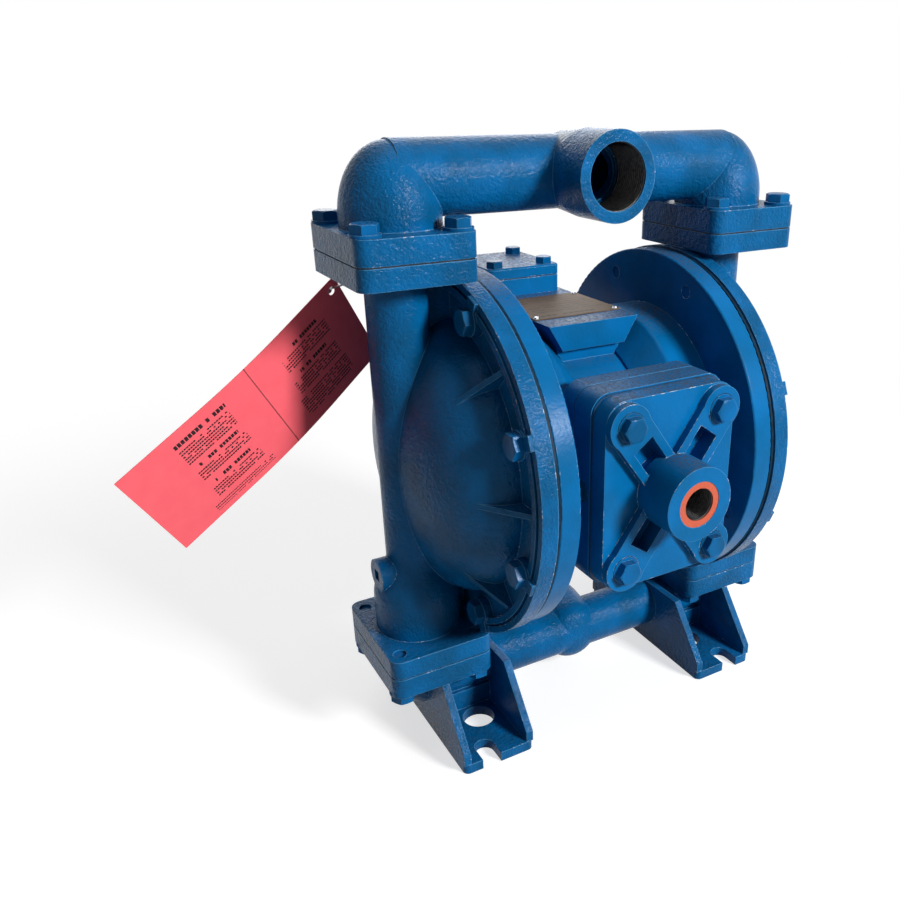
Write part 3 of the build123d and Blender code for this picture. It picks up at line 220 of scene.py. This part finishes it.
def mottledFinish(name, colour, second, roughness, metallic=0.0, grain=0.8, depth=0.03,
                  spread=(0.3, 0.7), gloss=0.5):
    # one body colour with a second worked through it, and a fine tooth
    material, tree = newMaterial(name)
    place = addNode(tree, "ShaderNodeTexCoord").outputs["Object"]
    mottle = addNode(tree, "ShaderNodeTexNoise", {"Scale": 1 / (grain * mm), "Detail": 4.0},
                     {"Vector": place}).outputs["Fac"]
    share = addNode(tree, "ShaderNodeMapRange", {"From Min": spread[0], "From Max": spread[1]},
                    {"Value": mottle}).outputs[0]
    mix = addNode(tree, "ShaderNodeMix", {"data_type": "RGBA", 6: linearColour(colour),
                                          7: linearColour(second)}, {0: share})
    bump = addNode(tree, "ShaderNodeBump", {"Strength": 1.0, "Distance": depth * mm},
                   {"Height": mottle})
    shader = addNode(tree, "ShaderNodeBsdfPrincipled",
                     {"Roughness": roughness, "Metallic": metallic, "Specular IOR Level": gloss},
                     {"Base Color": mix.outputs[2], "Normal": bump.outputs[0]})
    finishMaterial(tree, shader)
    return material


# rows of short dashes in place of print
dashSettings = {"inkShare": 0.8, "skipShare": 0.16}  # of a dash, of all dashes


def ruledBlocks(tree, across, along, blocks, s):
    # a block is (across from, to, along from, to, row pitch, ink share of a row, dash), in mm
    total = None
    for a0, a1, b0, b1, pitch, share, dash in blocks:
        inside = []
        for source, low, high in ((across, a0, a1), (along, b0, b1)):
            middle, half = (low + high) / 2, (high - low) / 2
            inside.append(addNode(tree, "ShaderNodeMath",
                                  {"operation": "COMPARE", 1: middle, 2: half},
                                  {0: source}).outputs[0])
        row = addNode(tree, "ShaderNodeMath",
                      {"operation": "MULTIPLY_ADD", 1: 1 / pitch, 2: -a0 / pitch}, {0: across})
        cell = addNode(tree, "ShaderNodeMath", {"operation": "MULTIPLY", 1: 1 / dash}, {0: along})
        steps = []
        for counter, limit in ((row, share), (cell, s["inkShare"])):
            part = addNode(tree, "ShaderNodeMath", {"operation": "FRACT"}, {0: counter.outputs[0]})
            inside.append(addNode(tree, "ShaderNodeMath", {"operation": "LESS_THAN", 1: limit},
                                  {0: part.outputs[0]}).outputs[0])
            steps.append(addNode(tree, "ShaderNodeMath", {"operation": "FLOOR"},
                                 {0: counter.outputs[0]}).outputs[0])
        grid = addNode(tree, "ShaderNodeCombineXYZ", {}, {0: steps[0], 1: steps[1]})
        chance = addNode(tree, "ShaderNodeTexWhiteNoise", {}, {"Vector": grid.outputs[0]})
        inside.append(addNode(tree, "ShaderNodeMath",
                              {"operation": "GREATER_THAN", 1: s["skipShare"]},
                              {0: chance.outputs["Value"]}).outputs[0])
        mask = inside[0]
        for factor in inside[1:]:
            mask = addNode(tree, "ShaderNodeMath", {"operation": "MULTIPLY"},
                           {0: mask, 1: factor}).outputs[0]
        total = mask if total is None else addNode(
            tree, "ShaderNodeMath", {"operation": "MAXIMUM"}, {0: total, 1: mask}).outputs[0]
    return total


# bronze-lacquered aluminium plate with faint etched rules, dulled by handling
plateSettings = {
    "colour": "#50402F", "rubbed": "#6E5E4E", "etch": "#2B211A",
    "roughness": 0.55, "gloss": 0.1, "rubSize": 18, "frontEdge": 14.0,  # mm
    "blocks": [(6, 14, -34, 20, 8, 0.3, 5), (18, 60, -34, 34, 6.5, 0.16, 14),
               (64, 74, -30, 30, 4, 0.2, 3)],
}


def etchedPlate(name, s):
    material, tree = newMaterial(name)
    place = addNode(tree, "ShaderNodeTexCoord").outputs["Object"]
    scaled = addNode(tree, "ShaderNodeVectorMath", {"operation": "SCALE", "Scale": 1 / mm},
                     {0: place})
    split = addNode(tree, "ShaderNodeSeparateXYZ", {}, {0: scaled.outputs[0]})
    # rows count up from the plate's front edge
    across = addNode(tree, "ShaderNodeMath", {"operation": "ADD", 1: s["frontEdge"]},
                     {0: split.outputs["Y"]})
    ink = ruledBlocks(tree, across.outputs[0], split.outputs["X"], s["blocks"], dashSettings)
    rub = addNode(tree, "ShaderNodeTexNoise", {"Scale": 1 / (s["rubSize"] * mm), "Detail": 5.0},
                  {"Vector": place})
    base = addNode(tree, "ShaderNodeMix", {"data_type": "RGBA", 6: linearColour(s["colour"]),
                                           7: linearColour(s["rubbed"])}, {0: rub.outputs["Fac"]})
    mix = addNode(tree, "ShaderNodeMix", {"data_type": "RGBA", 7: linearColour(s["etch"])},
                  {0: ink, 6: base.outputs[2]})
    finishMaterial(tree, addNode(tree, "ShaderNodeBsdfPrincipled",
                                 {"Roughness": s["roughness"], "Specular IOR Level": s["gloss"]},
                                 {"Base Color": mix.outputs[2]}))
    return material


roughCasting = enamelOverCasting("roughCasting", roughSettings)
fineCasting = enamelOverCasting("fineCasting", fineSettings)
paintedBolt = enamelOverCasting("paintedBolt", boltSettings)
finishes = {
    "rubber": mottledFinish("mouldedRubber", "#0A1824", "#0E3048", 0.5, grain=6.0,
                            gloss=0.1),  # with some overspray
    "fibre": mottledFinish("bareFibre", "#07090C", "#0B1A28", 0.7, grain=9, depth=0.2),
    "painted": mottledFinish("overpaintedFibre", "#00395F", "#0A1B2A", 0.45, grain=9,
                             depth=0.2, spread=(0.52, 0.66)),
    "steel": mottledFinish("groundSteel", "#A9ADB0", "#8F9497", 0.3, metallic=1.0),
    # thread steel darker than bare: oiled, and darkened further as painted shade for the inside of
    # the bores
    "darkThreadAndShade": mottledFinish("oiledThreadSteelAndShade", "#464646", "#242424", 0.42, metallic=0.85,
                          grain=2.5),
    "bronze": mottledFinish("bearingBronze", "#B98D4C", "#A0783C", 0.35, metallic=1.0),
    "iron": mottledFinish("machinedIron", "#4A4C4E", "#3A3B3D", 0.5, metallic=0.8, grain=1.5,
                          depth=0.1),
    "orange": mottledFinish("threadGuardPlastic", "#C4583A", "#AE4526", 0.5),
    "bright": mottledFinish("drivePinSteel", "#E3E5E6", "#C9CCCE", 0.22, metallic=1.0),
    "plate": etchedPlate("bronzedPlate", plateSettings),
}


def finishOf(name):
    if name.startswith("outer_chamber") or name.endswith("_manifold"):
        return roughCasting
    if name.startswith("inner_chamber") or name in (
            "center_body", "main_valve_body", "air_inlet_cap", "pilot_block", "pilot_block_cover"):
        return fineCasting
    if name.endswith("_bolts") or name.startswith("clamp_bolts") or name == "priming_plugs":
        return paintedBolt
    if "gasket" in name:
        return finishes["fibre" if name.startswith("discharge") else "painted"]
    if "ball" in name or name.startswith("diaphragm_") and name != "diaphragm_rod":
        return finishes["rubber"]
    if "_plate_" in name:
        return finishes["iron"]
    named = {"nameplate": "plate", "nameplate_pins": "bright", "inlet_thread_ring": "orange",
             "rod_bushings": "bronze"}
    return finishes[named.get(name, "steel")]


for name, piece in nodes.items():
    piece.data.materials.clear()
    piece.data.materials.append(finishOf(name))
print("finishes on", len(nodes), "nodes")


# coated card, folded once and sprung open in a soft bend, with a painted shade line along the fold
cardSettings = {
    "hole": (-164.5, 76.5, 350.6), "across": (39.0, 25.0, -71.0),  # mm
    "upper": (-72.5, -25.0, -63.9), "lower": (-94.0, -16.0, -63.5),
    "width": 84.0, "upperLength": 100.0, "lowerLength": 115.0, "thickness": 0.6,
    "holeInset": 8.0, "holeRadius": 3.2, "bend": 44.0, "step": 3.0,
    "colour": "#FA6A73", "shade": "#F25C67", "ink": "#2A1216", "foldShade": "#8C3A40",
    "fibreSize": 12, "foldShadeHalfWidth": 0.45, "roughness": 0.5, "gloss": 0.3,
    "blocks": [
        # lower half: three headings, each over a paragraph, then small print
        (9, 12.6, 126, 172, 3.6, 1.0, 3.2), (16, 31, 127, 172, 2.5, 0.5, 2.1),
        (34, 37, 131, 168, 3, 1.0, 2.7), (40, 50, 127, 172, 2.5, 0.5, 2.1),
        (54, 57, 133, 166, 3, 1.0, 2.7), (60, 70, 127, 172, 2.5, 0.5, 2.1),
        (74, 79, 122, 180, 2.2, 0.4, 1.8),
        # upper half: the same, turned end for end
        (14, 17, 32, 62, 3, 1.0, 2.7), (20, 32.5, 26, 74, 2.5, 0.5, 2.1),
        (36, 39, 36, 66, 3, 1.0, 2.7), (42, 54.5, 28, 76, 2.5, 0.5, 2.1),
        (58, 75.5, 26, 80, 2.5, 0.5, 2.1),
    ],
}


def printedCard(name, s):
    material, tree = newMaterial(name)
    uv = addNode(tree, "ShaderNodeUVMap", {"uv_map": "cardMap"}).outputs[0]
    split = addNode(tree, "ShaderNodeSeparateXYZ", {}, {0: uv})
    spans = []
    for label, size in (("X", s["width"]), ("Y", s["upperLength"] + s["lowerLength"])):
        spans.append(addNode(tree, "ShaderNodeMath", {"operation": "MULTIPLY", 1: size},
                             {0: split.outputs[label]}).outputs[0])
    ink = ruledBlocks(tree, spans[0], spans[1], s["blocks"], dashSettings)
    place = addNode(tree, "ShaderNodeTexCoord").outputs["Object"]
    fibre = addNode(tree, "ShaderNodeTexNoise", {"Scale": 1 / (s["fibreSize"] * mm), "Detail": 6.0},
                    {"Vector": place})
    card = addNode(tree, "ShaderNodeMix", {"data_type": "RGBA", 6: linearColour(s["colour"]),
                                           7: linearColour(s["shade"])}, {0: fibre.outputs["Fac"]})
    # a painted shade line darkens the card along the fold
    foldShade = addNode(tree, "ShaderNodeMath",
                     {"operation": "COMPARE", 1: s["upperLength"], 2: s["foldShadeHalfWidth"]},
                     {0: spans[1]})
    folded = addNode(tree, "ShaderNodeMix", {"data_type": "RGBA", 7: linearColour(s["foldShade"])},
                     {0: foldShade.outputs[0], 6: card.outputs[2]})
    final = addNode(tree, "ShaderNodeMix", {"data_type": "RGBA", 7: linearColour(s["ink"])},
                    {0: ink, 6: folded.outputs[2]})
    finishMaterial(tree, addNode(tree, "ShaderNodeBsdfPrincipled",
                                 {"Roughness": s["roughness"], "Specular IOR Level": s["gloss"]},
                                 {"Base Color": final.outputs[2]}))
    return material


def makeCard(s):
    side = Vector(s["across"]).normalized()
    runs = []
    for key in ("upper", "lower"):
        run = Vector(s[key]).normalized()
        runs.append((run - side * run.dot(side)).normalized())
    corner = Vector(s["hole"]) - (side + runs[0]) * s["holeInset"]
    fold = corner + runs[0] * s["upperLength"]
    length = s["upperLength"] + s["lowerLength"]

    def station(along):
        # straight, then a parabola over the fold, then straight
        t = (along - s["upperLength"] + s["bend"]) / (2 * s["bend"])
        if t <= 0:
            return corner + runs[0] * along
        if t >= 1:
            return fold + runs[1] * (along - s["upperLength"])
        start, end = fold - runs[0] * s["bend"], fold + runs[1] * s["bend"]
        return start * (1 - t) ** 2 + fold * 2 * t * (1 - t) + end * t ** 2

    # grid lines meet the square that the tie hole is set in, four steps wide
    step, inset, radius = s["step"], s["holeInset"], s["holeRadius"]
    first = inset - 2 * step
    square = [first + step * k for k in range(5)]

    def lines(size):
        rest = size - square[-1]
        count = round(rest / step)
        return [0.0] + square + [square[-1] + rest * k / count for k in range(1, count + 1)]

    acrossLines, alongLines = lines(s["width"]), lines(length)
    shape = bmesh.new()
    spots, flat = {}, {}

    def spot(across, along):
        key = (round(across, 4), round(along, 4))
        if key not in spots:
            spots[key] = shape.verts.new((station(along) + side * across) * mm)
            flat[spots[key]] = (across / s["width"], along / length)
        return spots[key]

    low, high = square[0], square[-1]
    slack = 0.01  # mm
    for a0, a1 in zip(acrossLines, acrossLines[1:]):
        for b0, b1 in zip(alongLines, alongLines[1:]):
            if all(low - slack < start < high - slack for start in (a0, b0)):
                continue
            shape.faces.new([spot(a0, b0), spot(a1, b0), spot(a1, b1), spot(a0, b1)])
    ring = [(low + step * k, low) for k in range(4)]
    ring += [(high, low + step * k) for k in range(4)]
    ring += [(high - step * k, high) for k in range(4)]
    ring += [(low, high - step * k) for k in range(4)]
    inner = []
    for across, along in ring:
        angle = atan2(along - inset, across - inset)
        inner.append((inset + cos(angle) * radius, inset + sin(angle) * radius))
    for k in range(len(ring)):
        j = (k + 1) % len(ring)
        shape.faces.new([spot(*ring[k]), spot(*ring[j]), spot(*inner[j]), spot(*inner[k])])
    bmesh.ops.recalc_face_normals(shape, faces=shape.faces)
    layer = shape.loops.layers.uv.new("cardMap")
    for face in shape.faces:
        for loop in face.loops:
            loop[layer].uv = flat[loop.vert]
    if shape.faces[0].normal.dot(side.cross(runs[0])) < 0:
        bmesh.ops.reverse_faces(shape, faces=shape.faces)
    mesh = bpy.data.meshes.new("hangTagCard")
    shape.to_mesh(mesh)
    shape.free()
    card = bpy.data.objects.new("hangTagCard", mesh)
    scene.collection.objects.link(card)
    thick = card.modifiers.new("thickness", "SOLIDIFY")
    thick.thickness = s["thickness"] * mm
    thick.offset = 1.0
    mesh.materials.append(printedCard("coatedTagCard", s))
    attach(card, "tag")
    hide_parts("hang_tag")


makeCard(cardSettings)
print("tag folded")


# rolled pipe threads, drawn as rings of ridge one pitch apart, in a dark finish that holds painted
# shade for the bores
threadSettings = {
    "depth": 0.95,  # mm
    "segments": 96, "ridgeSides": 4,
    "ports": [
        # name, mount, pitch mm
        ("dischargeThread", "discharge_port", 2.21),
        ("suctionThread", "suction_port", 2.21),
        ("exhaustThread", "exhaust_port", 2.21),
        ("inletThread", "air_inlet", 1.81),
    ],
}


def threadTree(s):
    tree = bpy.data.node_groups.new("threadRidges", "GeometryNodeTree")
    sockets = {}
    for label, kind in (("Radius", "NodeSocketFloat"), ("Pitch", "NodeSocketFloat"),
                        ("Depth", "NodeSocketFloat"), ("Turns", "NodeSocketInt"),
                        ("Material", "NodeSocketMaterial")):
        sockets[label] = tree.interface.new_socket(label, in_out="INPUT", socket_type=kind)
    tree.interface.new_socket("Geometry", in_out="OUTPUT", socket_type="NodeSocketGeometry")
    given = tree.nodes.new("NodeGroupInput").outputs
    ring = addNode(tree, "GeometryNodeCurvePrimitiveCircle", {"Resolution": s["segments"]},
                   {"Radius": given["Radius"]})
    ridge = addNode(tree, "GeometryNodeCurvePrimitiveCircle", {"Resolution": s["ridgeSides"]},
                    {"Radius": given["Depth"]})
    sweep = addNode(tree, "GeometryNodeCurveToMesh", {},
                    {"Curve": ring.outputs["Curve"], "Profile Curve": ridge.outputs["Curve"]})
    step = addNode(tree, "ShaderNodeCombineXYZ", {}, {"Z": given["Pitch"]})
    line = addNode(tree, "GeometryNodeMeshLine", {},
                   {"Count": given["Turns"], "Offset": step.outputs[0]})
    copies = addNode(tree, "GeometryNodeInstanceOnPoints", {},
                     {"Points": line.outputs[0], "Instance": sweep.outputs[0]})
    whole = addNode(tree, "GeometryNodeRealizeInstances", {}, {0: copies.outputs[0]})
    coated = addNode(tree, "GeometryNodeSetMaterial", {},
                     {"Geometry": whole.outputs[0], "Material": given["Material"]})
    out = tree.nodes.new("NodeGroupOutput")
    tree.links.new(coated.outputs[0], out.inputs[0])
    return tree, {label: socket.identifier for label, socket in sockets.items()}


def makeThread(name, mount, pitch, tree, keys, depth):
    radius, length = mount["dims"]["r_mm"], mount["dims"]["length_mm"]
    # the ridges grow on an empty mesh, and the piece keeps only what they made
    holder = bpy.data.objects.new(name + "Maker", bpy.data.meshes.new(name + "Seed"))
    scene.collection.objects.link(holder)
    modifier = holder.modifiers.new("ridges", "NODES")
    modifier.node_group = tree
    modifier[keys["Radius"]] = radius * mm
    modifier[keys["Pitch"]] = pitch * mm
    modifier[keys["Depth"]] = depth * mm
    modifier[keys["Turns"]] = int(length / pitch) - 1
    modifier[keys["Material"]] = finishes["darkThreadAndShade"]
    grown = holder.evaluated_get(bpy.context.evaluated_depsgraph_get())
    made = bpy.data.meshes.new_from_object(grown)
    bpy.data.objects.remove(holder)
    outward = Vector(mount["axis"])
    turn = (-outward).to_track_quat("Z", "Y").to_matrix().to_4x4()
    start = Vector(mount["pos_m"]) - outward * pitch * mm
    made.transform(Matrix.Translation(start) @ turn)
    piece = bpy.data.objects.new(name, made)
    scene.collection.objects.link(piece)
    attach(piece, "pump_body")


mounts = {m["name"]: m for m in frame["record"]["mounts"]}
tree, keys = threadTree(threadSettings)
for name, mount, pitch in threadSettings["ports"]:
    makeThread(name, mounts[mount], pitch, tree, keys, threadSettings["depth"])
print("threads cut")


# one broad window in front and to the right, and very little from the left
lampSettings = {
    "aim": (0, 0, 0.23),
    "lamps": [
        # name, place m, size m, watts
        ("window", (0.75, -1.75, 1.15), 0.42, 55),
        ("ceiling", (-0.1, 0.3, 2.1), 1.4, 10),
        ("leftFill", (-1.9, -0.9, 0.8), 1.2, 1.5),
        ("rearFill", (0.7, 1.9, 1.1), 1.4, 14),
    ],
    "air": 0.06,
}


def makeLamp(name, place, target, size, watts):
    data = bpy.data.lights.new(name, "AREA")
    data.size = size
    data.energy = watts
    lamp = bpy.data.objects.new(name, data)
    lamp.location = place
    lamp.rotation_euler = (Vector(target) - Vector(place)).to_track_quat("-Z", "Y").to_euler()
    scene.collection.objects.link(lamp)


for name, place, size, watts in lampSettings["lamps"]:
    makeLamp(name, place, lampSettings["aim"], size, watts)


def seenRay(tree):
    # 1 for rays that show the background: straight to the eye, or off and through a gloss
    path = addNode(tree, "ShaderNodeLightPath").outputs
    first = addNode(tree, "ShaderNodeMath", {"operation": "MAXIMUM"},
                    {0: path["Is Camera Ray"], 1: path["Is Glossy Ray"]})
    return addNode(tree, "ShaderNodeMath", {"operation": "MAXIMUM"},
                   {0: first.outputs[0], 1: path["Is Transmission Ray"]}).outputs[0]


world = bpy.data.worlds.new("studio")
scene.world = world
world.use_nodes = True
sky = world.node_tree
sky.nodes.clear()
air = addNode(sky, "ShaderNodeBackground", {"Color": (1, 1, 1, 1), "Strength": lampSettings["air"]})
pale = addNode(sky, "ShaderNodeBackground", {"Color": (1, 1, 1, 1), "Strength": 1.0})
chosen = addNode(sky, "ShaderNodeMixShader", {},
                 {0: seenRay(sky), 1: air.outputs[0], 2: pale.outputs[0]})
addNode(sky, "ShaderNodeOutputWorld", {}, {"Surface": chosen.outputs[0]})

# white floor that keeps a soft shadow near the pump and runs out to plain white
floorSettings = {
    "glow": 0.66, "shadowShare": 0.5, "bounce": 0.45,
    "fadeFrom": 0.45, "fadeTo": 1.1, "halfSize": 12, "drop": 0.0005,  # metres
}


def paleFloor(s):
    material, tree = newMaterial("paleFloor")
    place = addNode(tree, "ShaderNodeTexCoord").outputs["Object"]
    away = addNode(tree, "ShaderNodeVectorMath", {"operation": "LENGTH"}, {0: place})
    fade = addNode(tree, "ShaderNodeMapRange",
                   {"interpolation_type": "SMOOTHSTEP", "From Min": s["fadeFrom"],
                    "From Max": s["fadeTo"]}, {"Value": away.outputs["Value"]})
    glow = addNode(tree, "ShaderNodeEmission", {"Strength": s["glow"]})
    white = addNode(tree, "ShaderNodeEmission", {"Strength": 1.0})
    share = s["shadowShare"]
    matt = addNode(tree, "ShaderNodeBsdfDiffuse", {"Color": (share, share, share, 1)})
    near = addNode(tree, "ShaderNodeAddShader", {}, {0: glow.outputs[0], 1: matt.outputs[0]})
    seen = addNode(tree, "ShaderNodeMixShader", {},
                   {0: fade.outputs[0], 1: near.outputs[0], 2: white.outputs[0]})
    bounce = s["bounce"]
    unseen = addNode(tree, "ShaderNodeBsdfDiffuse", {"Color": (bounce, bounce, bounce, 1)})
    finishMaterial(tree, addNode(tree, "ShaderNodeMixShader", {},
                                 {0: seenRay(tree), 1: unseen.outputs[0], 2: seen.outputs[0]}))
    return material


floorMesh = bpy.data.meshes.new("floor")
shape = bmesh.new()
bmesh.ops.create_grid(shape, x_segments=1, y_segments=1, size=floorSettings["halfSize"])
shape.to_mesh(floorMesh)
shape.free()
floor = bpy.data.objects.new("floor", floorMesh)
floor.location.z = cadBox[0].z - floorSettings["drop"]
floorMesh.materials.append(paleFloor(floorSettings))
scene.collection.objects.link(floor)
print("stage set")

bpy.context.view_layer.update()
